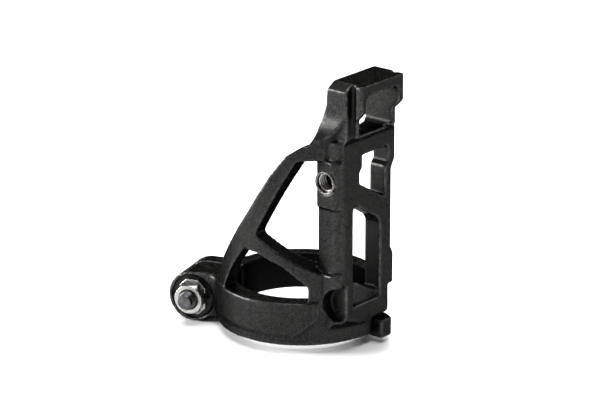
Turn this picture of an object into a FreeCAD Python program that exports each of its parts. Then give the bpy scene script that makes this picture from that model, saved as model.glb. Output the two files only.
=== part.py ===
import FreeCAD, Part
import os
import Sketcher

# Clamp-on front derailleur bracket: a hinged band for a seat tube, with an open-frame tower.
# Frame: Z runs up the seat tube, X points forward on the bicycle and -Y is the drive side.
# The origin is on the seat tube's axis, level with the bottom of the fixed half ring.
# "Clamp frame" below means the row frame turned about Z by clamp_angle: its X runs out to the
# ears and its Y runs along the clamp bolt, towards the nut.

os.makedirs("parts", exist_ok=True)
doc = FreeCAD.newDocument("bracket")
sheet = doc.addObject("Spreadsheet::Sheet", "dims")

SIZES = {
    # ring and band
    "bore_radius": 17.45, "ring_radius": 22.4, "ring_height": 11.8, "saddle_radius": 17.9,
    "panel_proud": 0.35, "panel_low": 3.4, "panel_start": -17.0, "panel_end": 17.6,
    "neck_fillet": 6.0,
    "band_radius": 21.3, "band_bottom": 1.9, "band_top": 11.9,
    "clamp_angle": -164.0, "half_gap": 0.8,
    # hinge, in the clamp frame
    "pin_distance": 20.3, "pin_offset": 0.6, "pin_radius": 1.25, "pin_length": 10.8,
    "pin_play": 0.05, "lug_radius": 6.3, "lug_height": 3.9, "lug_drop": 1.1, "lug_front": 25.6,
    "lug_near": 2.6, "lug_far": 8.6, "notch_near": 2.0,
    "foot_radius": 4.9, "knuckle_radius": 2.7, "swing_gap": 0.3,
    # ears, bolt and nut, in the clamp frame
    "bolt_distance": "=ring_radius + 5.7", "bolt_level": 4.6, "ear_radius": 7.0, "ear_face": 9.0,
    "ear_back": 5.6, "spot_radius": 6.2, "spot_depth": 0.9, "bolt_radius": 2.5,
    "bolt_play": 0.08, "slot_radius": "=bolt_radius + 0.4", "slot_reach": 1.4,
    "bolt_end": 14.3,
    "seat_width": 7.6, "seat_height": 9.7, "seat_thick": 1.0, "seat_corner": 2.0,
    "nut_flats": 8.0, "nut_height": 2.7, "thread_play": 0.05, "rest_gap": 0.1,
    "washer_radius": 4.6, "washer_thick": 1.0, "head_radius": 4.25, "head_height": 5.0,
    "socket_flats": 4.0, "socket_depth": 2.6, "point_chamfer": 0.55,
    # tower
    "side": 11.2, "post_face": 12.2, "post_back": 15.7, "post_inside": 8.6, "plate_back": 17.7,
    "plate_front": 23.0, "post_round": 2.5, "tower_top": 72.0,
    "block_front": 24.2, "block_side": 11.0, "block_left": 9.8, "top_chamfer_side": 2.7,
    "top_chamfer_down": 1.7, "sweep_radius": 9.0, "sweep_reach": 26.6,
    "rail_front": 28.0, "rail_back": 25.8, "rail_half": 8.9, "neck_half": 8.0,
    "rail_centre": -0.6, "mouth_half": 6.7,
    # levels of the head, which hang from the tower's top
    "arch_bottom": "=tower_top - 20.9", "arch_top": "=tower_top - 16.8",
    "block_base": "=tower_top - 15.7", "mouth_floor": "=tower_top - 14.4",
    "rail_low_back": "=tower_top - 9.7", "rail_low_front": "=tower_top - 7.2",
    "mouth_top": "=tower_top - 2.8",
    # base of the tower
    "ledge_top": "=ring_height + 8.1", "corner_side": 13.2, "corner_low": 9.0, "corner_round": 2.0,
    "dish_radius": 5.1, "dish_x": 23.0, "dish_level": 11.3, "dish_floor": 9.2,
    "window_left": 6.3, "sill": 9.9, "toe_radius": 26.0, "toe_angle": -32.5,
    "ramp_start": -11.6, "ramp_end": 5.9, "ramp_low": 10.8,
    # insert for the derailleur's fixing bolt
    "insert_x": 18.5, "insert_level": "=tower_top - 26.9",
    "pad_proud": 0.7, "pad_low": "=insert_level - 7", "pad_high": "=insert_level + 5.9",
    "insert_radius": 2.75, "insert_length": 3.9, "flange_radius": 3.15, "flange_thick": 0.7,
    "flange_proud": 0.12, "insert_bore": 2.1, "mouth_chamfer": 0.4,
    # how far the open frame is stretched from the 39.3 mm its corners are given for
    "stretch": "=(arch_bottom - ring_height) / 39.3",
}
for row, (word, value) in enumerate(SIZES.items(), 1):
    sheet.set(f"A{row}", word)
    sheet.set(f"B{row}", str(value))
    sheet.setAlias(f"B{row}", word)
doc.recompute()


def level(above):
    """The level of a corner of the open frame, given in mm above the ring when not stretched."""
    return f"ring_height + {above} * stretch"


AXES = {
    "X": FreeCAD.Rotation(FreeCAD.Vector(0, 1, 0), 90),
    "Y": FreeCAD.Rotation(FreeCAD.Vector(1, 0, 0), -90),
    "Z": FreeCAD.Rotation(),
}


def bind(obj, **formulas):
    """Tie properties of obj to formulas written with the sheet's words."""
    for prop, formula in formulas.items():
        words = formula
        for word in sorted(SIZES, key=len, reverse=True):
            words = replace_word(words, word)
        obj.setExpression(prop.replace("__", "."), words)


def replace_word(text, word):
    """Put dims. in front of each whole word in text."""
    out = []
    piece = ""
    for letter in text + " ":
        if letter.isalnum() or letter in "_.":
            piece += letter
            continue
        out.append("dims." + piece if piece == word else piece)
        out.append(letter)
        piece = ""
    return "".join(out)[:-1]


def place(obj, x, y, z):
    """Tie an object's position to three formulas."""
    bind(obj, Placement__Base__x=x, Placement__Base__y=y, Placement__Base__z=z)


def cylinder(name, radius, height, x="0", y="0", z="0", axis="Z"):
    obj = doc.addObject("Part::Cylinder", name)
    obj.Placement.Rotation = AXES[axis]
    bind(obj, Radius=radius, Height=height)
    place(obj, x, y, z)
    return obj


def cone(name, low, high, height, x="0", y="0", z="0", axis="Z"):
    obj = doc.addObject("Part::Cone", name)
    obj.Placement.Rotation = AXES[axis]
    bind(obj, Radius1=low, Radius2=high, Height=height)
    place(obj, x, y, z)
    return obj


def box(name, x, y, z):
    """A box given as (low, high) formulas along each axis."""
    obj = doc.addObject("Part::Box", name)
    bind(obj, Length=f"({x[1]}) - ({x[0]})", Width=f"({y[1]}) - ({y[0]})",
         Height=f"({z[1]}) - ({z[0]})")
    place(obj, x[0], y[0], z[0])
    return obj


def prism(name, plane, corners, length, middle=False, radius=None, turned=()):
    """A padded polygon in a body; corners are pairs of formulas in the sketch's own axes.

    radius rounds the edges along the pad at the corners numbered in turned, or at all of them.
    """
    body = doc.addObject("PartDesign::Body", name)
    origin = [o for o in body.Origin.OriginFeatures if o.Role == plane][0]
    sketch = body.newObject("Sketcher::SketchObject", name + "_sketch")
    sketch.AttachmentSupport = [(origin, "")]
    sketch.MapMode = "FlatFace"
    rough = [(rough_value(a), rough_value(b)) for a, b in corners]
    count = len(rough)
    for i in range(count):
        start = FreeCAD.Vector(*rough[i], 0)
        end = FreeCAD.Vector(*rough[(i + 1) % count], 0)
        sketch.addGeometry(Part.LineSegment(start, end))
    for i in range(count):
        sketch.addConstraint(Sketcher.Constraint("Coincident", i, 2, (i + 1) % count, 1))
    for i, (a, b) in enumerate(corners):
        for kind, formula, value in (("DistanceX", a, rough[i][0]), ("DistanceY", b, rough[i][1])):
            number = sketch.addConstraint(Sketcher.Constraint(kind, -1, 1, i, 1, value))
            bind(sketch, **{f"Constraints[{number}]": formula})
    pad = body.newObject("PartDesign::Pad", name + "_pad")
    pad.Profile = sketch
    bind(pad, Length=length)
    pad.Midplane = middle
    doc.recompute()
    if radius:
        spots = [rough[i] for i in turned] if turned else rough
        normal = sketch.Placement.Rotation.multVec(FreeCAD.Vector(0, 0, 1))
        here = [sketch.Placement.multVec(FreeCAD.Vector(a, b, 0)) for a, b in spots]
        names = []
        for number, edge in enumerate(pad.Shape.Edges, 1):
            along = edge.tangentAt(edge.FirstParameter)
            start = edge.Vertexes[0].Point
            gaps = [(start - spot).cross(normal).Length for spot in here]
            if abs(abs(along.dot(normal)) - 1) < 1e-6 and min(gaps) < 1e-3:
                names.append(f"Edge{number}")
        fillet = body.newObject("PartDesign::Fillet", name + "_round")
        fillet.Base = (pad, names)
        bind(fillet, Radius=radius)
        pad.Visibility = False
    doc.recompute()
    return body


def rough_value(formula):
    """The value of a formula of sheet words with + - * / and brackets."""
    probe = doc.getObject("probe") or doc.addObject("App::FeaturePython", "probe")
    if "value" not in probe.PropertiesList:
        probe.addProperty("App::PropertyFloat", "value")
    bind(probe, value=formula)
    probe.recompute()
    return probe.value


def join(name, *pieces):
    obj = doc.addObject("Part::MultiFuse", name)
    obj.Shapes = list(pieces)
    obj.Refine = True
    return obj


def common(name, *pieces):
    obj = doc.addObject("Part::MultiCommon", name)
    obj.Shapes = list(pieces)
    return obj


def cut(name, base, *tools):
    obj = doc.addObject("Part::Cut", name)
    obj.Base = base
    obj.Tool = tools[0] if len(tools) == 1 else join(name + "_tools", *tools)
    obj.Refine = True
    return obj


def turn_to_clamp(obj):
    """Turn a piece built in the clamp frame into the row frame."""
    obj.Placement.Rotation = FreeCAD.Rotation(FreeCAD.Vector(0, 0, 1), 1)
    bind(obj, Placement__Rotation__Angle="clamp_angle * 1 deg")
    return obj


PIN_X = "-pin_distance * cos(clamp_angle * 1 deg) - pin_offset * sin(clamp_angle * 1 deg)"
PIN_Y = "-pin_distance * sin(clamp_angle * 1 deg) + pin_offset * cos(clamp_angle * 1 deg)"


# ---------------------------------------------------------------- ears, in the clamp frame
def ear(name, near, far):
    """An ear from y = near to y = far: a round boss with a neck that runs into the ring."""
    neck = prism(name + "_neck", "XZ_Plane", [
        ("bore_radius", "0"), ("ring_radius + 0.6", "-0.6"),
        ("bolt_distance", "bolt_level - ear_radius"), ("bolt_distance", "bolt_level + ear_radius"),
        ("bore_radius", "ring_height")], f"({far}) - ({near})")
    place(neck, "0", far, "0")
    boss = cylinder(name + "_boss", "ear_radius", f"({far}) - ({near})",
                    "bolt_distance", near, "bolt_level", "Y")
    return join(name, neck, boss)


def bolt_hole(name, radius, near, far):
    return cylinder(name, radius, f"({far}) - ({near})", "bolt_distance", near, "bolt_level", "Y")


# ---------------------------------------------------------------- fixed half ring
drive_half = box("drive_half", ("-60", "60"), ("half_gap", "60"), ("-20", "ring_height"))
ring_wall = cylinder("ring_wall", "ring_radius", "ring_height")
half_ring = common("half_ring", drive_half, ring_wall)
fixed_ear = ear("fixed_ear", "half_gap", "ear_face")
spotface = bolt_hole("spotface", "spot_radius", "ear_face - spot_depth", "ear_face + 1")
fixed_hole = bolt_hole("fixed_hole", "bolt_radius + bolt_play", "-1", "ear_face")
FILLET_X = "sqrt((ring_radius + neck_fillet) ^ 2 - (ear_face + neck_fillet) ^ 2)"
fillet_block = box("fillet_block", ("bore_radius", FILLET_X),
                   ("ear_face - 1", "(ear_face + neck_fillet) * ring_radius"
                    " / (ring_radius + neck_fillet)"), ("0", "ring_height - 0.4"))
neck_blend = cut("neck_blend", fillet_block,
                 cylinder("fillet_round", "neck_fillet", "ring_height + 2", FILLET_X,
                          "ear_face + neck_fillet", "-1"))
fixed_side = cut("fixed_side", join("ring_and_ear", half_ring, fixed_ear, neck_blend),
                 spotface, fixed_hole)
turn_to_clamp(fixed_side)

# a shallow raised panel round the drive side, with a sloped lower edge
panel_round = join("panel_round",
                   cylinder("panel_wall", "ring_radius + panel_proud",
                            "ring_height - panel_low", z="panel_low"),
                   cone("panel_slope", "ring_radius", "ring_radius + panel_proud", "1",
                        z="panel_low - 1"))
panel_outline = prism("panel_outline", "XZ_Plane", [
    ("panel_start", "panel_low - 1"), ("panel_end - 4.5", "panel_low - 1"),
    ("panel_end", "panel_low + 4"), ("panel_end", "ring_height"),
    ("panel_start", "ring_height")], "60", radius="2.0", turned=(1, 2))
place(panel_outline, "0", "-8", "0")
panel = common("panel", panel_round, panel_outline)

# ---------------------------------------------------------------- drive-side frame
STRUT = [("-16.2", "ring_height - 1"), ("-11.2", level(7.5)), ("-0.4", level(23.4)),
         ("6.9", level(35.3)), ("10.7", "tower_top - 19.5"), ("14.2", "arch_top")]
frame_face = prism("frame_face", "XZ_Plane", STRUT + [
    ("plate_front", "arch_top"), ("plate_front", "ring_height - 1")], "ring_radius + 1",
    radius="4.0", turned=(1, 4))
frame_wall = common("frame_wall", frame_face, cylinder("frame_round", "ring_radius", "arch_top"))
big_window = prism("big_window", "XZ_Plane", [
    ("2.4", level(18.1)), ("13.1", "arch_bottom"), ("40", "arch_bottom"), ("40", "ledge_top"),
    ("17.6", "ledge_top")], "ring_radius + 1", radius="1.2", turned=(0, 1))
small_window = prism("small_window", "XZ_Plane", [
    ("-10.3", "ring_height"), ("-6.4", level(6.8)), ("-1.3", level(13.5)), ("3.2", level(13.0)),
    ("10.2", level(9.8)), ("15.4", level(4.4)), ("15.4", "ring_height")], "ring_radius + 1",
    radius="0.9", turned=(1, 3, 4, 5))

# ---------------------------------------------------------------- tower
tower_plan = prism("tower_plan", "XY_Plane", [
    ("post_back", "-post_face"), ("plate_front", "-post_face"), ("plate_front", "side"),
    ("plate_back", "side"), ("plate_back", "-post_inside"), ("post_back", "-post_inside")],
    "block_base", radius="post_round", turned=(1,))
tower_front = prism("tower_front", "YZ_Plane", [
    ("-side - 2", "0"), ("side - 0.4", "0"), ("side - 0.4", level(8.8)),
    ("side - 1.5", level(10.8)), ("side - 1.5", level(32.6)), ("side", level(35.2)),
    ("side", "block_base"), ("-side - 2", "block_base")], "40")
tower_plate = common("tower_plate", tower_plan, tower_front)

BACK_CURVE = [("post_back", "tower_top - 12.5"), ("post_back + 0.5", "tower_top - 9.8"),
              ("post_back + 1.6", "tower_top - 6.4"), ("plate_back - 0.1", "tower_top - 2"),
              ("plate_back", "tower_top")]
top_side = prism("top_side", "XZ_Plane", [("post_back", "arch_bottom")] + BACK_CURVE + [
    ("block_front", "tower_top"), ("block_front", "block_base + 0.9"),
    ("plate_front", "block_base - 0.8"), ("plate_front", "arch_bottom")], "80", middle=True)
top_face = prism("top_face", "YZ_Plane", [
    ("-block_side", "arch_bottom"), ("-block_side", "tower_top - top_chamfer_down"),
    ("-block_side + top_chamfer_side", "tower_top"), ("block_left - 1.2", "tower_top"),
    ("block_left", "tower_top - top_chamfer_down"), ("block_left", "arch_bottom")], "40")
top_block = common("top_block", top_side, top_face)
sweep_solid = box("sweep_solid", ("post_back", "block_front"), ("-ring_radius", "-block_side"),
                  ("arch_bottom", "arch_top + sweep_radius"))
sweep_hollow = cylinder("sweep_hollow", "sweep_radius", "60", "0",
                        "-block_side - sweep_radius", "arch_top + sweep_radius", "X")
sweep_left = box("sweep_left", ("0", "60"), ("-60", "-block_side - sweep_radius"),
                 ("arch_top", "tower_top + 8"))
sweep_low = cylinder("sweep_low", "ring_radius", "arch_top")
sweep_high = cone("sweep_high", "ring_radius", "sweep_reach", "sweep_radius", z="arch_top")
sweep = common("sweep", cut("sweep_curve", sweep_solid, sweep_hollow, sweep_left),
               join("sweep_limit", sweep_low, sweep_high), top_side)

# the rail at the top: a narrow neck and a wider front flange, open in the middle
neck = box("neck", ("block_front - 0.5", "rail_back"),
           ("rail_centre - neck_half", "rail_centre + neck_half"), ("mouth_floor", "tower_top"))
rail = prism("rail", "XZ_Plane", [
    ("rail_back", "rail_low_back"), ("rail_front", "rail_low_front"),
    ("rail_front", "tower_top"), ("rail_back", "tower_top")], "2 * rail_half", middle=True)
place(rail, "0", "rail_centre", "0")
mouth_flare = prism("mouth_flare", "XZ_Plane", [
    ("block_front - 1.3", "mouth_floor + 0.05"), ("40", "mouth_floor - 14.0"),
    ("40", "mouth_floor + 0.05")], "2 * mouth_half", middle=True)
place(mouth_flare, "0", "rail_centre", "0")
neck_low = box("neck_low", ("block_front", "40"), ("-40", "40"), ("0", "rail_low_back"))
mouth = prism("mouth", "YZ_Plane", [
    ("rail_centre - mouth_half", "mouth_floor"), ("rail_centre + mouth_half", "mouth_floor"),
    ("rail_centre + mouth_half", "mouth_top"), ("rail_centre - mouth_half", "mouth_top")],
    "40", radius="1.6")

# corner at the foot of the post, with the round dish milled into it
corner = prism("corner", "XY_Plane", [
    ("14", "-corner_side"), ("plate_front", "-corner_side"), ("plate_front", "-window_left"),
    ("14", "-window_left")],
    "ledge_top - corner_low", radius="corner_round", turned=(1,))
place(corner, "0", "0", "corner_low")
ledge_face = prism("ledge_face", "YZ_Plane", [
    ("-40", "0"), ("ramp_end", "0"), ("ramp_end", "ramp_low"), ("ramp_start", "ledge_top"),
    ("-40", "ledge_top")], "40")
ledge_wall = common("ledge_wall", cylinder("ledge_round", "ring_radius", "ledge_top"),
                    box("ledge_box", ("15.4", "40"), ("-40", "ramp_end"), ("0", "ledge_top")),
                    ledge_face)
above_ramp = prism("above_ramp", "YZ_Plane", [
    ("ramp_start", "ledge_top"), ("ramp_end", "ramp_low"), ("ramp_end", "arch_bottom - 1"),
    ("ramp_start", "arch_bottom - 1")], "40")
place(above_ramp, "15.4", "0", "0")
dish = cylinder("dish", "dish_radius", "40", "dish_x", "-40 - dish_floor", "dish_level", "Y")

# windows in the front plate
lower_window = prism("lower_window", "YZ_Plane", [
    ("-window_left", "sill"), ("5.0", "sill"), ("5.0", level(18.8)), ("3.9", level(20.4)),
    ("-5.2", level(25.9)), ("-window_left", level(25.0))], "40", radius="0.8")
middle_window = prism("middle_window", "YZ_Plane", [
    ("-3.6", level(31.6)), ("7.0", level(25.6)), ("7.0", level(33.8)), ("8.3", level(34.9)),
    ("8.3", "tower_top - 20"), ("6.9", "tower_top - 18.6"), ("-0.4", "tower_top - 18.6"),
    ("-2.6", "tower_top - 20.8"), ("-2.6", level(35.8)), ("-3.6", level(34.8))],
    "40", radius="0.5")

# pad and seat for the insert
pad = prism("pad", "XY_Plane", [
    ("post_back", "-post_face - pad_proud"), ("plate_front", "-post_face - pad_proud"),
    ("plate_front", "-post_inside"), ("post_back", "-post_inside")],
    "pad_high - pad_low", radius="post_round", turned=(1,))
place(pad, "0", "0", "pad_low")
insert_hole = cylinder("insert_hole", "insert_radius", "insert_length",
                       "insert_x", "-post_face - pad_proud", "insert_level", "Y")
flange_seat = cylinder("flange_seat", "flange_radius", "flange_thick - flange_proud",
                       "insert_x", "-post_face - pad_proud", "insert_level", "Y")

# ---------------------------------------------------------------- hinge
foot_keep = join("foot_keep",
                 box("foot_keep_front", ("-60", "60"), ("-60", PIN_Y), ("-20", "tower_top + 8")),
                 cylinder("foot_keep_round", "foot_radius", "80", PIN_X, PIN_Y, "-20"),
                 box("foot_keep_top", ("-60", "60"), ("-60", "60"),
                     ("band_top + swing_gap", "tower_top + 8")))
lug_notch = common("lug_notch", cylinder("notch_round", "lug_radius + swing_gap",
                                         "lug_height + swing_gap + 20", PIN_X, PIN_Y, "-20"),
                   box("notch_box", ("0", "60"), ("notch_near", "60"), ("-20", "20")))
body_knuckle = cylinder("body_knuckle", "knuckle_radius", "ring_height", PIN_X, PIN_Y)
pin_hole = cylinder("pin_hole", "pin_radius", "pin_length", PIN_X, PIN_Y, "0")
TOE_X = "(ring_radius - toe_radius - 0.08) * cos(toe_angle * 1 deg)"
TOE_Y = "(ring_radius - toe_radius - 0.08) * sin(toe_angle * 1 deg)"
toe_limit = cut("toe_limit", box("toe_box", ("-60", "60"), ("-60", "60"), ("-20", "9")),
                cylinder("toe_round", "toe_radius", "34", TOE_X, TOE_Y, "-30"),
                cone("toe_cone", "toe_radius", "toe_radius + 4", "5.1", TOE_X, TOE_Y, "4"))

# ---------------------------------------------------------------- bracket body
pierced = join("pierced", cut("frame_pierced", frame_wall, big_window, small_window,
                               above_ramp),
               cut("tower_pierced", tower_plate, lower_window, middle_window),
               cut("block_pierced", join("block_and_rail", top_block, neck, rail), mouth,
                   mouth_flare),
               sweep, corner, ledge_wall, pad)
cleared = cut("cleared", pierced, cylinder("tube_room", "saddle_radius", "200", z="-50"),
              toe_limit)
whole = join("whole", cleared, fixed_side, panel, body_knuckle)
trimmed = common("trimmed", whole, foot_keep)
bracket_body = cut("bracket_body", trimmed,
                   cylinder("bore", "bore_radius", "200", z="-50"), lug_notch, pin_hole,
                   dish, insert_hole, flange_seat)

# ---------------------------------------------------------------- hinged half band
far_half = box("far_half", ("-60", "60"), ("-60", "-half_gap"), ("-20", "band_top"))
band_wall = cylinder("band_wall", "band_radius", "band_top - band_bottom", z="band_bottom")
half_band = common("half_band", far_half, band_wall)
far_ear = ear("far_ear", "-ear_back", "-half_gap")
slot = join("slot",
            bolt_hole("slot_near", "slot_radius", "-ear_back - 1", "0"),
            cylinder("slot_far", "slot_radius", "ear_back + 1", "bolt_distance + slot_reach",
                     "-ear_back - 1", "bolt_level", "Y"),
            box("slot_middle", ("bolt_distance", "bolt_distance + slot_reach"),
                ("-ear_back - 1", "0"), ("bolt_level - slot_radius", "bolt_level + slot_radius")))
far_side = cut("far_side", join("band_and_ear", half_band, far_ear), slot)
turn_to_clamp(far_side)
hinge_clear = cylinder("hinge_clear", "foot_radius + swing_gap", "40", PIN_X, PIN_Y,
                       "lug_height")
lug_plan = prism("lug_plan", "XY_Plane", [
    ("10", "lug_near"), ("lug_front", "lug_near"), ("lug_front", "lug_far - 1.7"),
    ("ring_radius", "lug_far"), ("10", "lug_far")], "lug_height + lug_drop", radius="0.6",
    turned=(1, 2))
place(lug_plan, "0", "0", "-lug_drop")
lug_disc = common("lug_disc", lug_plan,
                  cylinder("lug_round", "lug_radius", "lug_height + lug_drop", PIN_X, PIN_Y,
                           "-lug_drop"))
lug_hole = cylinder("lug_hole", "pin_radius + pin_play", "40", PIN_X, PIN_Y, "-20")
band_half = cut("band_half", join("band_blank", cut("band_cleared", far_side, hinge_clear),
                                  lug_disc),
                cylinder("band_bore", "bore_radius", "200", z="-50"), lug_hole)

hinge_pin = cylinder("hinge_pin", "pin_radius", "pin_length - 0.4", PIN_X, PIN_Y, "0.4")


# ---------------------------------------------------------------- clamp hardware
def hexagon(name, flats, near, far):
    """A hexagonal prism along the clamp bolt's line, corners level with its axis."""
    obj = doc.addObject("Part::Prism", name)
    obj.Polygon = 6
    obj.Placement.Rotation = AXES["Y"]
    bind(obj, Circumradius=f"({flats}) / sqrt(3)", Height=f"({far}) - ({near})")
    place(obj, "bolt_distance", near, "bolt_level")
    return obj


SEAT_LOW = "ear_face - spot_depth"
SEAT_HIGH = "ear_face - spot_depth + seat_thick"
NUT_HIGH = "ear_face - spot_depth + seat_thick + nut_height"
WASHER_HIGH = "-ear_back - rest_gap"
WASHER_LOW = "-ear_back - rest_gap - washer_thick"
HEAD_HIGH = "-ear_back - rest_gap - washer_thick - rest_gap / 2"
HEAD_LOW = "-ear_back - rest_gap - washer_thick - rest_gap / 2 - head_height"

seat_plate = prism("seat_plate", "XZ_Plane", [
    ("-seat_width / 2", "-seat_height / 2 + seat_corner"),
    ("-seat_width / 2 + seat_corner", "-seat_height / 2"),
    ("seat_width / 2 - seat_corner", "-seat_height / 2"),
    ("seat_width / 2", "-seat_height / 2 + seat_corner"),
    ("seat_width / 2", "seat_height / 2 - seat_corner"),
    ("seat_width / 2 - seat_corner", "seat_height / 2"),
    ("-seat_width / 2 + seat_corner", "seat_height / 2"),
    ("-seat_width / 2", "seat_height / 2 - seat_corner")], "seat_thick")
place(seat_plate, "bolt_distance", SEAT_HIGH, "bolt_level")
nut_seat = turn_to_clamp(cut("nut_seat", seat_plate,
                             bolt_hole("seat_hole", "bolt_radius + bolt_play", "0", "20")))

nut_round = cone("nut_round", "nut_flats / 2 + 1.6", "nut_flats / 2 - 0.1", "nut_height + 0.01",
                 "bolt_distance", SEAT_HIGH, "bolt_level", "Y")
nut_solid = common("nut_solid", hexagon("nut_hexagon", "nut_flats", SEAT_HIGH, NUT_HIGH),
                   nut_round)
nut_mouth = cone("nut_mouth", "bolt_radius - 0.3", "bolt_radius + 0.5", "0.8",
                 "bolt_distance", "ear_face - spot_depth + seat_thick + nut_height - 0.7",
                 "bolt_level", "Y")
clamp_nut = turn_to_clamp(cut("clamp_nut", nut_solid,
                              bolt_hole("nut_hole", "bolt_radius + thread_play", "0", "20"),
                              nut_mouth))

shank = bolt_hole("shank", "bolt_radius", HEAD_HIGH, "bolt_end - point_chamfer")
point = cone("point", "bolt_radius", "bolt_radius - point_chamfer", "point_chamfer",
             "bolt_distance", "bolt_end - point_chamfer", "bolt_level", "Y")
head = bolt_hole("head", "head_radius", HEAD_LOW, HEAD_HIGH)
socket = hexagon("socket", "socket_flats", HEAD_LOW + " - 1", HEAD_LOW + " + socket_depth")
clamp_bolt = turn_to_clamp(cut("clamp_bolt", join("bolt_solid", shank, point, head), socket))

washer_disc = bolt_hole("washer_disc", "washer_radius", WASHER_LOW, WASHER_HIGH)
bolt_washer = turn_to_clamp(cut("bolt_washer", washer_disc,
                                bolt_hole("washer_hole", "bolt_radius + bolt_play",
                                          "-30", "0")))

# ---------------------------------------------------------------- threaded insert
barrel = cylinder("barrel", "insert_radius", "insert_length", "insert_x",
                  "-post_face - pad_proud", "insert_level", "Y")
flange = cylinder("flange", "flange_radius", "flange_thick", "insert_x",
                  "-post_face - pad_proud - flange_proud", "insert_level", "Y")
insert_bore = cylinder("insert_thread", "insert_bore", "40", "insert_x", "-40",
                       "insert_level", "Y")
insert_mouth = cone("insert_mouth", "insert_bore + mouth_chamfer", "insert_bore", "mouth_chamfer",
                    "insert_x", "-post_face - pad_proud - flange_proud", "insert_level", "Y")
threaded_insert = cut("threaded_insert", join("insert_solid", barrel, flange), insert_bore,
                      insert_mouth)

NODES = {
    "bracket_body": bracket_body, "band_half": band_half, "hinge_pin": hinge_pin,
    "clamp_bolt": clamp_bolt, "bolt_washer": bolt_washer, "clamp_nut": clamp_nut,
    "nut_seat": nut_seat, "threaded_insert": threaded_insert,
}
doc.recompute()
for obj in doc.Objects:
    if "Invalid" in obj.State or "Error" in obj.State:
        raise RuntimeError(f"{obj.Label} did not compute: {obj.State}")
for node, obj in NODES.items():
    obj.Label = node
    if obj.Shape.isNull() or not obj.Shape.isValid():
        raise RuntimeError(f"{node} has no valid shape")
    if len(obj.Shape.Solids) != 1:
        raise RuntimeError(f"{node} has {len(obj.Shape.Solids)} solids")
    obj.Shape.exportStep(f"parts/{node}.step")
    b = obj.Shape.BoundBox
    print(f"{node}: volume {obj.Shape.Volume:.1f} mm3, X {b.XMin:.2f} {b.XMax:.2f}, "
          f"Y {b.YMin:.2f} {b.YMax:.2f}, Z {b.ZMin:.2f} {b.ZMax:.2f}")
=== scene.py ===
# %% [markdown]
# # A clamp-on bracket for a front derailleur
#
# The object is a small machined part of black anodised aluminium. A hinged ring grips the
# bicycle's seat tube, one bolt closes it, and an open tower stands on the ring to carry the
# derailleur. The CAD model gives every shape and size; this lesson gives the shapes soft
# machined edges, real threads and finishes, and then sets up a small studio round them.

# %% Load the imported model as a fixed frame
import math

import bmesh
import bpy
import numpy as np
from mathutils import Matrix, Vector


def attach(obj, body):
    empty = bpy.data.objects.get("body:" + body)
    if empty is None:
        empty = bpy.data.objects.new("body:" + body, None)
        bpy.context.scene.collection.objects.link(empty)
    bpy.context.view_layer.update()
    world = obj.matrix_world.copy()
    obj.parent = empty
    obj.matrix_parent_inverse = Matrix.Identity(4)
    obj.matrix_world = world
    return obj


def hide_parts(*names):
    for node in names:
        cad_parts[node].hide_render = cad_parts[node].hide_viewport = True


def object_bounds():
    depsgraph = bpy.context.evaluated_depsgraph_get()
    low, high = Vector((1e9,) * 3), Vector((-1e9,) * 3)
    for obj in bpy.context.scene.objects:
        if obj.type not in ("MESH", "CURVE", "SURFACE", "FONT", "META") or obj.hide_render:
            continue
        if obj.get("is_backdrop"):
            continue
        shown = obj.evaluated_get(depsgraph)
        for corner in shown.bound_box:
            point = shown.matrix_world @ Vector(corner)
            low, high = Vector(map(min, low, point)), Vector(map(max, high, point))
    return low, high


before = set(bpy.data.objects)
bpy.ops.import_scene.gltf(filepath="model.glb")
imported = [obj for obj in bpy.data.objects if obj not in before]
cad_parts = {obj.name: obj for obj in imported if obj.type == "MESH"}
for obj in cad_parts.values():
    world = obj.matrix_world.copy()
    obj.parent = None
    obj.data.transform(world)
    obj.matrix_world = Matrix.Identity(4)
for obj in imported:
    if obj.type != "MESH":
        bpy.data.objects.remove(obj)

CAD_BOX = [list(corner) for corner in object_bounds()]
print("nodes:", ", ".join(sorted(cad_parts)))
print("CAD box in mm:", [[round(v * 1000, 2) for v in corner] for corner in CAD_BOX])

# %% [markdown]
# ## Two directions to work in
#
# The tower stands square to the bicycle, but the clamp is turned about the seat tube. The bolt,
# its nut and its washer are easier to describe in the clamp's own directions, with the bolt
# along y, and then to turn into place. One matrix does that turn for every piece of hardware.

# %% The clamp's directions and the bolt's line
MM = 0.001
CLAMP_TURN = Matrix.Rotation(math.radians(-164.0), 4, "Z")
BOLT_LINE = Vector((28.1, 0.0, 4.6)) * MM
BOLT_FRAME = CLAMP_TURN @ Matrix.Translation(BOLT_LINE)
print("bolt line passes", [round(v * 1000, 2) for v in BOLT_FRAME.translation], "mm")

# %% [markdown]
# ## A helper for node materials
#
# A finish is a small network: patterns feed colour, roughness and bump. Writing the links out
# by hand is long, so this helper makes a node, sets its inputs and links what is passed to it.
# Every pattern reads Object coordinates, in metres, so a scale of 1000 is one cell to the
# millimetre and the grain keeps its true size on every piece.


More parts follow.
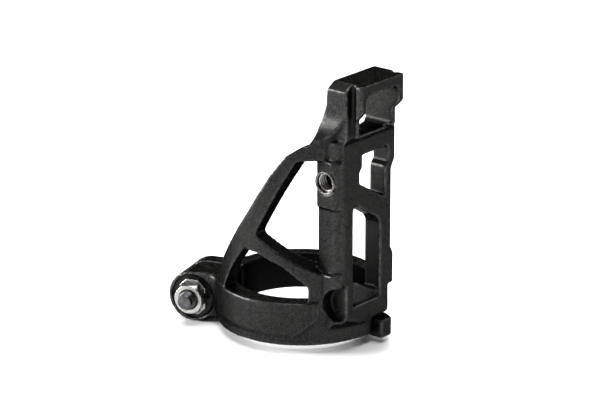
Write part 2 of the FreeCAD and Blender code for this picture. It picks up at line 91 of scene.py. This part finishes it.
# %% Make nodes and links in one line
class Finish:
    """A material under construction: add() makes a node and links or sets its inputs."""

    def __init__(self, name):
        self.material = bpy.data.materials.new(name)
        self.material.use_nodes = True
        self.tree = self.material.node_tree
        self.shader = self.tree.nodes["Principled BSDF"]
        self.place = self.add("ShaderNodeTexCoord").outputs["Object"]

    def add(self, kind, inputs=None, **settings):
        node = self.tree.nodes.new(kind)
        for word, value in settings.items():
            setattr(node, word, value)
        self.feed(node, inputs or {})
        return node

    def feed(self, node, inputs):
        for key, value in inputs.items():
            if isinstance(value, bpy.types.NodeSocket):
                self.tree.links.new(value, node.inputs[key])
            else:
                node.inputs[key].default_value = value

    def noise(self, scale, detail=2.0, rough=0.5, where=None):
        return self.add("ShaderNodeTexNoise", {
            "Vector": where or self.place, "Scale": scale, "Detail": detail,
            "Roughness": rough}).outputs["Fac"]

    def spread(self, value, low, high, to_low, to_high):
        return self.add("ShaderNodeMapRange", {
            "Value": value, "From Min": low, "From Max": high,
            "To Min": to_low, "To Max": to_high}).outputs["Result"]

    def maths(self, operation, a, b):
        return self.add("ShaderNodeMath", {0: a, 1: b}, operation=operation).outputs[0]

    def mix(self, factor, a, b):
        node = self.add("ShaderNodeMix", data_type="RGBA")
        self.feed(node, {0: factor})
        for socket, value in ((node.inputs[6], a), (node.inputs[7], b)):
            if isinstance(value, bpy.types.NodeSocket):
                self.tree.links.new(value, socket)
            else:
                socket.default_value = (*value, 1.0)
        return node.outputs[2]

    def bump(self, height, depth, strength=1.0, under=None):
        node = self.add("ShaderNodeBump", {
            "Height": height, "Distance": depth, "Strength": strength})
        if under is not None:
            self.tree.links.new(under, node.inputs["Normal"])
        return node.outputs["Normal"]


# %% [markdown]
# ## Black anodised aluminium
#
# The bracket is forged and machined, blasted with fine grit and then anodised black. Close up
# it isn't black: the grit leaves a satin grain of tiny pits. A painted texture could show that,
# but noise on Object coordinates costs nothing and never stretches. Three scales are layered:
# the grit's grain, a cloudy change in colour a few millimetres wide, and sparse light specks.
# The edges are lightened in noisy patches as a painted highlight, along an attribute called
# edge, which a later cell measures on the mesh, and inside corners, along the attribute hollow,
# are darkened as painted shade. The bore's wall, which a point's distance from the axis tells,
# is made much darker still: painted shade inside the ring.

# %% Black anodised aluminium
BORE_RADIUS = 17.45 * MM
anodised = Finish("black_anodised_aluminium")
grain = anodised.noise(3400.0, 4.0, 0.68)
cloud = anodised.noise(230.0, 4.0, 0.6)
specks = anodised.noise(8200.0, 1.0, 0.4)
edge = anodised.add("ShaderNodeAttribute", attribute_name="edge").outputs["Fac"]
hollow = anodised.add("ShaderNodeAttribute", attribute_name="hollow").outputs["Fac"]
anodised_colour_and_painted_light = anodised.mix(anodised.spread(cloud, 0.35, 0.68, 0.0, 1.0),
                   (0.0085, 0.0085, 0.0089), (0.0140, 0.0138, 0.0132))
anodised_colour_and_painted_light = anodised.mix(anodised.spread(grain, 0.42, 0.64, 0.0, 1.0), anodised_colour_and_painted_light, (0.034, 0.034, 0.0332))
anodised_colour_and_painted_light = anodised.mix(anodised.spread(specks, 0.64, 0.74, 0.0, 0.8), anodised_colour_and_painted_light, (0.14, 0.14, 0.135))
# painted highlight: the edges are lightened, in noisy patches, along the attribute edge
highlight_patches = anodised.noise(900.0, 3.0, 0.6)
anodised_edge_highlight = anodised.maths("MULTIPLY", edge, anodised.spread(highlight_patches, 0.4, 0.62, 0.1, 0.9))
anodised_colour_and_painted_light = anodised.mix(anodised_edge_highlight, anodised_colour_and_painted_light, (0.15, 0.15, 0.146))
# painted shade: inside corners, along the attribute hollow, are darkened
anodised_colour_and_painted_light = anodised.mix(anodised.maths("MULTIPLY", hollow, 0.75), anodised_colour_and_painted_light, (0.003, 0.003, 0.003))
# painted shade: the bore's wall, inside the ring, is made much darker
across = anodised.add("ShaderNodeVectorMath", {
    0: anodised.place, 1: (1.0, 1.0, 0.0)}, operation="MULTIPLY").outputs["Vector"]
from_axis = anodised.add("ShaderNodeVectorMath", {0: across}, operation="LENGTH").outputs["Value"]
painted_bore_wall_shade = anodised.spread(from_axis, BORE_RADIUS + 0.2 * MM, BORE_RADIUS + 0.4 * MM, 0.85, 0.0)
anodised_colour_and_painted_light = anodised.mix(painted_bore_wall_shade, anodised_colour_and_painted_light, (0.0025, 0.0025, 0.0026))
satin = anodised.spread(grain, 0.3, 0.7, 0.31, 0.45)
satin = anodised.maths("SUBTRACT", satin, anodised.maths("MULTIPLY", anodised_edge_highlight, 0.10))
anodised.feed(anodised.shader, {
    "Base Color": anodised_colour_and_painted_light, "Metallic": 1.0, "Roughness": satin,
    "Specular Tint": (0.22, 0.22, 0.22, 1.0),
    "Normal": anodised.bump(grain, 0.000035, 0.75,
                            anodised.bump(cloud, 0.00012, 0.25))})
print("anodised nodes:", len(anodised.tree.nodes))

# %% [markdown]
# ## Steel finishes
#
# Five steels meet at the clamp and the post. The nut and its plate are nickel plated, bright
# with faint handling marks. The bolt is duller, with tool marks round its axis. The insert is
# turned on a lathe, so its marks are fine rings about its own axis, and its thread is given a
# much brighter steel as a painted highlight. The pin and washer are dark oiled steel. One recipe
# makes all five: colour, gloss, how strong the rings are, and where the axis of the rings runs.
# The rings are the sine of the distance from that axis, so they need no texture space of their
# own. Where the edge attribute is set the metal is lightened, a painted highlight, and where the
# hollow attribute is set it is darkened, painted shade.


# %% A steel finish with turning rings about an axis
RING_PITCH = 0.16 * MM
SCRATCH_SHARE = 0.5


def steel(name, colour, dull, ring_depth, axis=None):
    """Plated or turned steel. axis is a matrix whose y runs along the turned axis."""
    made = Finish(name)
    smudge = made.noise(900.0, 4.0, 0.6)
    fine = made.noise(9000.0, 2.0, 0.5)
    scratch_space = made.add("ShaderNodeMapping", {
        "Vector": made.place, "Scale": (1.0, 1.0, 9.0), "Rotation": (0.5, 0.35, 0.2)})
    scratch = made.noise(2600.0, 5.0, 0.7, scratch_space.outputs["Vector"])
    light = tuple(min(1.0, c * 1.18) for c in colour)
    dark = tuple(c * 0.72 for c in colour)
    tone = made.mix(made.spread(smudge, 0.32, 0.68, 0.0, 1.0), dark, light)
    tone = made.mix(made.maths("MULTIPLY", made.spread(scratch, 0.58, 0.7, 0.0, 1.0),
                               SCRATCH_SHARE), tone, tuple(c * 0.55 for c in colour))
    # painted highlight: points along the attribute edge are lightened
    painted_edge_highlight = made.add("ShaderNodeAttribute", attribute_name="edge").outputs["Fac"]
    tone = made.mix(made.maths("MULTIPLY", painted_edge_highlight, 0.6), tone,
                    tuple(min(1.0, c * 1.35) for c in colour))
    # painted shade: points along the attribute hollow are darkened almost to black
    painted_recess_shade = made.add("ShaderNodeAttribute", attribute_name="hollow").outputs["Fac"]
    tone = made.mix(made.maths("MULTIPLY", painted_recess_shade, 0.9), tone, tuple(c * 0.06 for c in colour))
    gloss = made.spread(smudge, 0.3, 0.7, dull * 0.8, dull * 1.25)
    normal = made.bump(fine, 0.00001, 0.5)
    if axis is not None:
        turned = axis.inverted()
        angles = turned.to_euler("XYZ")
        local = made.add("ShaderNodeMapping", {
            "Vector": made.place, "Location": tuple(turned.translation),
            "Rotation": tuple(angles)})
        parts = made.add("ShaderNodeSeparateXYZ", {"Vector": local.outputs["Vector"]})
        flat = made.add("ShaderNodeCombineXYZ", {
            "X": parts.outputs["X"], "Z": parts.outputs["Z"]})
        radius = made.add("ShaderNodeVectorMath", {0: flat.outputs["Vector"]},
                          operation="LENGTH").outputs["Value"]
        wobble = made.maths("MULTIPLY", fine, 0.00006)
        phase = made.maths("MULTIPLY", made.maths("ADD", radius, wobble),
                           2.0 * math.pi / RING_PITCH)
        rings = made.maths("SINE", phase, 0.0)
        normal = made.bump(rings, ring_depth, 0.8, normal)
    made.feed(made.shader, {"Base Color": tone, "Metallic": 1.0, "Roughness": gloss,
                            "Normal": normal})
    return made.material


INSERT_FRAME = Matrix.Translation(Vector((18.5, -12.9, 45.1)) * MM)
plated = steel("nickel_plated_steel", (0.36, 0.355, 0.34), 0.27, 0.000004, BOLT_FRAME)
bolt_steel = steel("bolt_steel", (0.075, 0.075, 0.078), 0.30, 0.000012, BOLT_FRAME)
turned_steel = steel("turned_insert_steel", (0.17, 0.167, 0.158), 0.26, 0.00001,
                     INSERT_FRAME)
# painted highlight: the insert's thread gets a much brighter steel than the insert itself
thread_painted_highlight = steel("thread_painted_highlight_steel", (0.62, 0.61, 0.58), 0.34, 0.000004)
oiled_steel = steel("oiled_dark_steel", (0.045, 0.045, 0.047), 0.36, 0.000004)
print("steel finishes:", plated.name, bolt_steel.name, turned_steel.name, thread_painted_highlight.name,
      oiled_steel.name)

# %% [markdown]
# ## Soft edges on machined shapes
#
# Real edges are never sharp: blasting leaves them about half a millimetre round, and that thin
# round is what catches the light. A Bevel modifier would do on a model drawn by hand, but a CAD
# mesh is long thin triangles and bevels badly. So each piece is made again from small even
# squares with a voxel Remesh, a Shrinkwrap pulls those squares back onto the CAD faces, so
# that flat faces are truly flat, and a few rounds of smoothing then wear only the edges, since
# a point on a flat face is already the average of its neighbours.


# %% Remake a CAD node with worn edges
def even_copy(node, voxel, rounds, name):
    """A plain mesh object in the shape of the CAD node, with edges rounded by smoothing."""
    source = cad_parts[node]
    work = bmesh.new()
    work.from_mesh(source.data)
    bmesh.ops.remove_doubles(work, verts=work.verts, dist=2e-6)
    merged = bpy.data.meshes.new(name + "_merged")
    work.to_mesh(merged)
    work.free()
    shell = bpy.data.objects.new(name + "_shell", merged)
    bpy.context.scene.collection.objects.link(shell)
    remesh = shell.modifiers.new("even_squares", "REMESH")
    remesh.mode = "VOXEL"
    remesh.voxel_size = voxel
    wrap = shell.modifiers.new("back_to_faces", "SHRINKWRAP")
    wrap.wrap_method = "NEAREST_SURFACEPOINT"
    wrap.target = source
    soft = shell.modifiers.new("worn_edges", "SMOOTH")
    soft.factor = 0.5
    soft.iterations = rounds
    return plain(shell, name)


def plain(live, name):
    """The evaluated shape of an object as a new object with a plain mesh; the old one goes."""
    graph = bpy.context.evaluated_depsgraph_get()
    mesh = bpy.data.meshes.new_from_object(live.evaluated_get(graph))
    mesh.name = name
    done = bpy.data.objects.new(name, mesh)
    bpy.context.scene.collection.objects.link(done)
    bpy.data.objects.remove(live)
    return done


# %% [markdown]
# ## Where the edges are
#
# The finish wants to know which points lie on an outside edge and which in an inside corner,
# to paint a highlight on the one and shade in the other.
# The mesh knows: at an outside edge the neighbours lie below the tangent plane, and in a corner
# above it. The average of that height over each point's neighbours is its curvature, and two
# attributes hold it, edge for the outside and hollow for the inside.


# %% Measure edges and hollows on a mesh
def mark_edges(piece, edge_radius, hollow_radius):
    """Write edge and hollow, 0 to 1, on every point; the radii in mm give full strength.

    Returns the share of points that are at least half marked as edge.
    """
    mesh = piece.data
    count = len(mesh.vertices)
    place = np.empty(count * 3)
    mesh.vertices.foreach_get("co", place)
    place = place.reshape(-1, 3)
    out = np.empty(count * 3)
    mesh.vertex_normals.foreach_get("vector", out)
    out = out.reshape(-1, 3)
    pairs = np.empty(len(mesh.edges) * 2, int)
    mesh.edges.foreach_get("vertices", pairs)
    first, second = pairs.reshape(-1, 2).T
    step = place[second] - place[first]
    span = np.maximum((step ** 2).sum(1), 1e-14)
    bend = np.zeros(count)
    near = np.bincount(pairs, minlength=count)
    np.add.at(bend, first, -2.0 * (step * out[first]).sum(1) / span)
    np.add.at(bend, second, 2.0 * (step * out[second]).sum(1) / span)
    bend /= np.maximum(near, 1)
    total = np.zeros(count)
    np.add.at(total, first, bend[second])
    np.add.at(total, second, bend[first])
    bend = 0.5 * bend + 0.5 * total / np.maximum(near, 1)
    for word, radius, sign in (("edge", edge_radius, 1.0), ("hollow", hollow_radius, -1.0)):
        amount = np.clip(sign * bend * radius * MM, 0.0, 1.0)
        mark = mesh.attributes.new(word, "FLOAT", "POINT")
        mark.data.foreach_set("value", amount.astype(np.float32))
    return float((bend > 0.5 / (edge_radius * MM)).mean())


# %% [markdown]
# ## The bracket and the band
#
# These two carry nearly all of the surface, so their squares are as small as a sensible mesh
# allows: 0.3 to 0.4 mm. Four rounds of smoothing leave an edge a little under half a millimetre
# round, like the blasted edges of the real part.

# %% The bracket body
def dress(piece, node, material, body):
    """Give a finished piece its material, slot and body; node is the CAD node it replaces."""
    piece.data.materials.clear()
    piece.data.materials.append(material)
    piece.data.polygons.foreach_set("material_index", np.zeros(len(piece.data.polygons), int))
    piece.data.shade_smooth()
    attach(piece, body)
    if node:
        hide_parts(node)
    triangles = sum(len(face.vertices) - 2 for face in piece.data.polygons)
    print(f"{piece.name}: {triangles} triangles")


bracket = even_copy("bracket_body", 0.40 * MM, 4, "bracket")
print("bracket edge share:", round(mark_edges(bracket, 0.42, 0.9), 3))
dress(bracket, "bracket_body", anodised.material, "bracket")

# %% The hinged band
band = even_copy("band_half", 0.32 * MM, 4, "clamp_band")
print("band edge share:", round(mark_edges(band, 0.42, 0.9), 3))
dress(band, "band_half", anodised.material, "band")

# %% [markdown]
# ## Small hardware
#
# The nut, its plate, the washer and the pin are made the same way, with much finer squares,
# since their edges are only a tenth or two of a millimetre round.

# %% Nut, plate, washer and pin
SMALL = (
    ("clamp_nut", "nut", 0.11, 3, plated, "bright_steel", "bracket"),
    ("nut_seat", "nut_plate", 0.11, 3, plated, "bright_steel", "bracket"),
    ("bolt_washer", "washer", 0.11, 3, oiled_steel, "dark_steel", "washer"),
    ("hinge_pin", "hinge_rivet", 0.12, 4, oiled_steel, "dark_steel", "bracket"),
)
for node, name, squares, rounds, material, slot, body in SMALL:
    piece = even_copy(node, squares * MM, rounds, name)
    mark_edges(piece, 0.3, 0.3)
    dress(piece, node, material, body)

# %% [markdown]
# ## Turned shapes
#
# The bolt and the insert are lathe work, so they are drawn as a lathe would cut them: a list of
# stations along the axis, each with a radius, swept round in a ring of points. The socket in
# the bolt's head is the one place that isn't round, and there the radius follows a hexagon as
# the angle goes round. The thread is left off here; its turns are added by a node tree.


# %% Sweep a list of stations round an axis
def lathe(name, stations, frame_matrix, segments=72):
    """Stations are (distance along y, radius, is it a hexagon), in mm, from end to end.

    A list that comes back to its first station makes a ring; any other gets two end faces.
    """
    work = bmesh.new()
    rings = []
    for along, radius, six_sided in stations:
        ring = []
        for k in range(segments):
            angle = 2.0 * math.pi * k / segments
            reach = radius
            if six_sided:
                reach = radius / math.cos((angle % (math.pi / 3)) - math.pi / 6)
            ring.append(work.verts.new((reach * math.cos(angle) * MM, along * MM,
                                        reach * math.sin(angle) * MM)))
        rings.append(ring)
    for ring, after in zip(rings, rings[1:]):
        for k in range(segments):
            j = (k + 1) % segments
            work.faces.new((ring[k], after[k], after[j], ring[j]))
    if stations[0] != stations[-1]:
        work.faces.new(rings[0])
        work.faces.new(rings[-1])
    bmesh.ops.remove_doubles(work, verts=work.verts, dist=1e-7)
    bmesh.ops.recalc_face_normals(work, faces=work.faces)
    bmesh.ops.transform(work, matrix=frame_matrix, verts=work.verts)
    mesh = bpy.data.meshes.new(name)
    work.to_mesh(mesh)
    work.free()
    piece = bpy.data.objects.new(name, mesh)
    bpy.context.scene.collection.objects.link(piece)
    return piece


# %% [markdown]
# ## A thread as a node tree
#
# A screw thread is one ridge wound in a helix, which is just what Geometry Nodes do well: a
# spiral curve, a small three-sided profile swept along it, and a turn into place. Radius,
# pitch, turns and depth are inputs of the tree, so that the bolt's outside thread and the
# insert's inside thread come from the same tree with different numbers.


# %% The thread tree
def thread_tree(material):
    tree = bpy.data.node_groups.new("wound_thread_" + material.name, "GeometryNodeTree")
    made = tree.interface
    made.new_socket("Geometry", in_out="INPUT", socket_type="NodeSocketGeometry")
    for word in ("Radius", "Pitch", "Turns", "Depth"):
        made.new_socket(word, in_out="INPUT", socket_type="NodeSocketFloat")
    made.new_socket("Geometry", in_out="OUTPUT", socket_type="NodeSocketGeometry")
    add = tree.nodes.new
    link = tree.links.new
    given = add("NodeGroupInput")
    length = add("ShaderNodeMath")
    length.operation = "MULTIPLY"
    link(given.outputs["Pitch"], length.inputs[0])
    link(given.outputs["Turns"], length.inputs[1])
    spiral = add("GeometryNodeCurveSpiral")
    spiral.inputs["Resolution"].default_value = 56
    link(given.outputs["Turns"], spiral.inputs["Rotations"])
    link(given.outputs["Radius"], spiral.inputs["Start Radius"])
    link(given.outputs["Radius"], spiral.inputs["End Radius"])
    link(length.outputs[0], spiral.inputs["Height"])
    upright = add("GeometryNodeSetCurveNormal")
    upright.mode = "Z_UP"
    link(spiral.outputs["Curve"], upright.inputs["Curve"])
    profile = add("GeometryNodeCurvePrimitiveCircle")
    profile.mode = "RADIUS"
    profile.inputs["Resolution"].default_value = 4
    link(given.outputs["Depth"], profile.inputs["Radius"])
    swept = add("GeometryNodeCurveToMesh")
    swept.inputs["Fill Caps"].default_value = True
    link(upright.outputs["Curve"], swept.inputs["Curve"])
    link(profile.outputs["Curve"], swept.inputs["Profile Curve"])
    laid = add("GeometryNodeTransform")
    laid.inputs["Rotation"].default_value = (-math.pi / 2, 0.0, 0.0)
    link(swept.outputs["Mesh"], laid.inputs["Geometry"])
    real = add("GeometryNodeRealizeInstances")
    link(laid.outputs["Geometry"], real.inputs["Geometry"])
    finish = add("GeometryNodeSetMaterial")
    finish.inputs["Material"].default_value = material
    link(real.outputs["Geometry"], finish.inputs["Geometry"])
    result = add("NodeGroupOutput")
    link(finish.outputs["Geometry"], result.inputs["Geometry"])
    return tree


def wind_thread(name, tree, start, radius, pitch, turns, depth, frame_matrix):
    """Run the tree on an empty mesh and lay the ridge along y from start, in mm."""
    seed = bpy.data.objects.new(name + "_seed", bpy.data.meshes.new(name + "_seed"))
    bpy.context.scene.collection.objects.link(seed)
    nodes = seed.modifiers.new("thread", "NODES")
    nodes.node_group = tree
    sizes = {"Radius": radius * MM, "Pitch": pitch * MM, "Turns": turns, "Depth": depth * MM}
    for item in tree.interface.items_tree:
        if item.in_out == "INPUT" and item.name in sizes:
            nodes[item.identifier] = float(sizes[item.name])
    ridge = plain(seed, name)
    ridge.data.transform(frame_matrix @ Matrix.Translation((0.0, start * MM, 0.0)))
    return ridge


def join_into(piece, *others):
    """Put the meshes of others into piece, as one object."""
    work = bmesh.new()
    for each in (piece, *others):
        work.from_mesh(each.data)
    work.to_mesh(piece.data)
    work.free()
    for each in others:
        bpy.data.objects.remove(each)
    return piece


# %% [markdown]
# ## The clamp bolt
#
# A socket-head bolt, 5 mm across. Its plain shank runs through both ears, and the thread
# starts just before the nut and runs to the chamfered point that stands out beyond it. Under the
# thread the core is thinner, so that the ridge's crest is at the shank's own radius.

# %% The bolt's stations, from its socket to its point
THREAD_PITCH = 0.8
HEAD_FAR = -11.75
HEAD_NEAR = -6.75
THREAD_FROM = 4.0
BOLT_END = 14.3
BOLT_STATIONS = (
    (HEAD_FAR + 2.6, 0.02, False), (HEAD_FAR + 2.2, 1.92, True), (HEAD_FAR + 2.15, 1.98, True),
    (HEAD_FAR + 0.3, 2.0, True), (HEAD_FAR + 0.12, 2.04, True), (HEAD_FAR, 2.2, True),
    (HEAD_FAR, 3.75, False), (HEAD_FAR + 0.04, 3.9, False), (HEAD_FAR + 0.16, 4.07, False),
    (HEAD_FAR + 0.35, 4.17, False), (HEAD_NEAR - 0.3, 4.17, False),
    (HEAD_NEAR - 0.08, 4.13, False), (HEAD_NEAR, 4.0, False), (HEAD_NEAR, 2.75, False),
    (HEAD_NEAR + 0.08, 2.6, False), (HEAD_NEAR + 0.3, 2.5, False),
    (THREAD_FROM - 0.4, 2.5, False), (THREAD_FROM, 2.1, False),
    (BOLT_END - 0.55, 2.1, False), (BOLT_END - 0.1, 1.95, False), (BOLT_END, 1.85, False),
    (BOLT_END, 0.02, False))
bolt = lathe("bolt", BOLT_STATIONS, BOLT_FRAME)
print("bolt length:", round(BOLT_END - HEAD_FAR, 2), "mm")

# %% The bolt's thread
bolt_tree = thread_tree(bolt_steel)
bolt_turns = (BOLT_END - 0.9 - THREAD_FROM) / THREAD_PITCH
bolt_ridge = wind_thread("bolt_thread", bolt_tree, THREAD_FROM, 2.1, THREAD_PITCH, bolt_turns,
                         0.38, BOLT_FRAME)
print("thread turns on the bolt:", round(bolt_turns, 1))

# %% [markdown]
# ## Grip on the bolt's head
#
# A socket head usually has fine grooves round its side, so that fingers can start it. They are
# all alike and evenly spaced, so a node tree sets one small ridge on every point of a ring.


# %% The head's grip ridges
def grip_tree(material):
    tree = bpy.data.node_groups.new("grip_ridges", "GeometryNodeTree")
    made = tree.interface
    made.new_socket("Geometry", in_out="INPUT", socket_type="NodeSocketGeometry")
    made.new_socket("Count", in_out="INPUT", socket_type="NodeSocketInt")
    for word in ("Radius", "Width", "Height"):
        made.new_socket(word, in_out="INPUT", socket_type="NodeSocketFloat")
    made.new_socket("Geometry", in_out="OUTPUT", socket_type="NodeSocketGeometry")
    add = tree.nodes.new
    link = tree.links.new
    given = add("NodeGroupInput")
    ring = add("GeometryNodeMeshCircle")
    link(given.outputs["Count"], ring.inputs["Vertices"])
    link(given.outputs["Radius"], ring.inputs["Radius"])
    ridge = add("GeometryNodeMeshCylinder")
    ridge.inputs["Vertices"].default_value = 6
    link(given.outputs["Width"], ridge.inputs["Radius"])
    link(given.outputs["Height"], ridge.inputs["Depth"])
    set_on = add("GeometryNodeInstanceOnPoints")
    link(ring.outputs["Mesh"], set_on.inputs["Points"])
    link(ridge.outputs["Mesh"], set_on.inputs["Instance"])
    laid = add("GeometryNodeTransform")
    laid.inputs["Rotation"].default_value = (-math.pi / 2, 0.0, 0.0)
    link(set_on.outputs["Instances"], laid.inputs["Geometry"])
    real = add("GeometryNodeRealizeInstances")
    link(laid.outputs["Geometry"], real.inputs["Geometry"])
    finish = add("GeometryNodeSetMaterial")
    finish.inputs["Material"].default_value = material
    link(real.outputs["Geometry"], finish.inputs["Geometry"])
    result = add("NodeGroupOutput")
    link(finish.outputs["Geometry"], result.inputs["Geometry"])
    return tree


grip_seed = bpy.data.objects.new("grip_seed", bpy.data.meshes.new("grip_seed"))
bpy.context.scene.collection.objects.link(grip_seed)
grip_nodes = grip_seed.modifiers.new("grip", "NODES")
grip_nodes.node_group = grip_tree(bolt_steel)
GRIP = {"Count": 46, "Radius": 4.10 * MM, "Width": 0.15 * MM, "Height": 3.9 * MM}
for item in grip_nodes.node_group.interface.items_tree:
    if item.in_out == "INPUT" and item.name in GRIP:
        grip_nodes[item.identifier] = GRIP[item.name]
grip = plain(grip_seed, "grip")
grip.data.transform(BOLT_FRAME @ Matrix.Translation((0.0, (HEAD_NEAR - 2.5) * MM, 0.0)))
join_into(bolt, bolt_ridge, grip)
dress(bolt, "clamp_bolt", bolt_steel, "bolt")
bolt.data.set_sharp_from_angle(angle=math.radians(35))

# %% [markdown]
# ## The threaded insert
#
# A turned steel insert with a thin flange is pressed into the post, because a steel bolt would
# soon wear a thread cut in aluminium. Its bore shows three or four turns of thread, lit bright,
# with shade between them, so the thread is a piece of its own in a much brighter steel, a painted
# highlight, and the bore's points are marked hollow, which paints shade on them. The stations
# run round the wall: up the outside, over the flange and down the bore.

# %% The insert's stations, out of the bore and round the flange
INSERT_STATIONS = (
    (3.9, 2.48, False), (3.9, 2.65, False), (3.82, 2.75, False), (0.58, 2.75, False),
    (0.56, 3.10, False), (0.50, 3.15, False), (-0.02, 3.15, False), (-0.09, 3.11, False),
    (-0.12, 3.03, False), (-0.12, 2.76, False), (-0.09, 2.70, False), (0.10, 2.52, False),
    (0.20, 2.48, False), (3.9, 2.48, False))
insert = lathe("insert", INSERT_STATIONS, INSERT_FRAME)
# painted shade: the bore's points are marked hollow, which darkens them in the finish
insert_bore_shade_mark = insert.data.attributes.new("hollow", "FLOAT", "POINT")
for mark, point in zip(insert_bore_shade_mark.data, insert.data.vertices):
    spot = INSERT_FRAME.inverted() @ point.co
    mark.value = float(math.hypot(spot.x, spot.z) < 2.5 * MM)
dress(insert, "threaded_insert", turned_steel, "bracket")
insert.data.set_sharp_from_angle(angle=math.radians(35))

# %% The insert's thread
# the thread, in its painted-highlight steel
insert_ridge = wind_thread("insert_thread", thread_tree(thread_painted_highlight), 0.55, 2.35,
                           THREAD_PITCH, 3.7, 0.27, INSERT_FRAME)
dress(insert_ridge, None, thread_painted_highlight, "bracket")

# %% [markdown]
# ## Floor and light
#
# A part like this is shown on a pale floor under large soft lamps. The floor is one wide
# sheet just below the lowest ear. A broad lamp at the front left lights the drive side, a
# weak one on the right keeps the front face readable, one behind lifts the top faces, and one
# above draws the bright lines along the rounded edges. The lamps don't reach the far floor, so
# it glows faintly from about a metre out, which keeps the backdrop pale from low viewpoints.

# %% The floor
FLOOR_LEVEL = CAD_BOX[0][2] - 0.0001
FLOOR_REACH = 15.0
GLOW_FROM = 0.9
GLOW_FULL = 2.4
floor_mesh = bpy.data.meshes.new("floor")
floor_mesh.from_pydata([(x * FLOOR_REACH, y * FLOOR_REACH, FLOOR_LEVEL) for x, y in
                        ((-1, -1), (1, -1), (1, 1), (-1, 1))], [], [(0, 1, 2, 3)])
floor = bpy.data.objects.new("floor", floor_mesh)
bpy.context.scene.collection.objects.link(floor)
paper = Finish("pale_paper")
far_off = paper.add("ShaderNodeVectorMath", {0: paper.place},
                    operation="LENGTH").outputs["Value"]
paper.feed(paper.shader, {
    "Base Color": paper.mix(paper.noise(60.0, 3.0), (0.90, 0.90, 0.90), (0.93, 0.93, 0.93)),
    "Roughness": 0.9, "Emission Color": (1.0, 1.0, 1.0, 1.0),
    "Emission Strength": paper.spread(far_off, GLOW_FROM, GLOW_FULL, 0.0, 0.85)})
floor_mesh.materials.append(paper.material)
floor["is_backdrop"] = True
print("floor level:", round(FLOOR_LEVEL * 1000, 2), "mm")


# %% The lamps
MIDDLE = Vector((0.0, 0.0, 0.035))


def lamp(name, place, size, power):
    """A soft white lamp at place, turned to face the middle of the part."""
    data = bpy.data.lights.new(name, "AREA")
    data.shape = "RECTANGLE"
    data.size, data.size_y = size
    data.energy = power
    made = bpy.data.objects.new(name, data)
    made.location = place
    made.rotation_euler = (MIDDLE - Vector(place)).to_track_quat("-Z", "Y").to_euler()
    bpy.context.scene.collection.objects.link(made)


lamp("front_left", (-0.95, -0.82, 0.30), (0.45, 0.45), 34.0)
lamp("back", (-0.70, 0.90, 0.48), (0.9, 0.5), 24.0)
lamp("right", (0.95, 0.75, 0.30), (0.35, 0.35), 2.5)
lamp("overhead", (-0.05, 0.0, 1.3), (1.0, 1.0), 21.0)
world = bpy.data.worlds.new("studio")
world.use_nodes = True
sky = world.node_tree.nodes["Background"].inputs
sky["Color"].default_value = (1.0, 1.0, 1.0, 1.0)
sky["Strength"].default_value = 0.15
bpy.context.scene.world = world
bpy.context.scene.view_settings.view_transform = "Standard"

# %% [markdown]
# ## Camera
#
# A long lens from nearly a metre away, a little above the part and to its front right, keeps
# the tower's upright edges parallel.

# %% The camera
lens = bpy.data.cameras.new("camera")
lens.lens = 211.35
lens.sensor_width = 36.0
lens.clip_start = 0.01
camera = bpy.data.objects.new("camera", lens)
TURN = math.radians(39.32)
RISE = math.radians(18.775)
camera.location = (0.5642, -0.6892, 0.3359)
camera.rotation_euler = (math.pi / 2 - RISE, 0.0, TURN)
bpy.context.scene.collection.objects.link(camera)
bpy.context.scene.camera = camera
print("camera stands", round(camera.location.length, 3), "m away")

# %% Print the sizes
NEW_BOX = [list(corner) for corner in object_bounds()]
grown = [round((b - a) * 1000, 3) for old, new in zip(CAD_BOX, NEW_BOX)
         for a, b in zip(old, new)]
print("visual box less CAD box in mm:", grown)
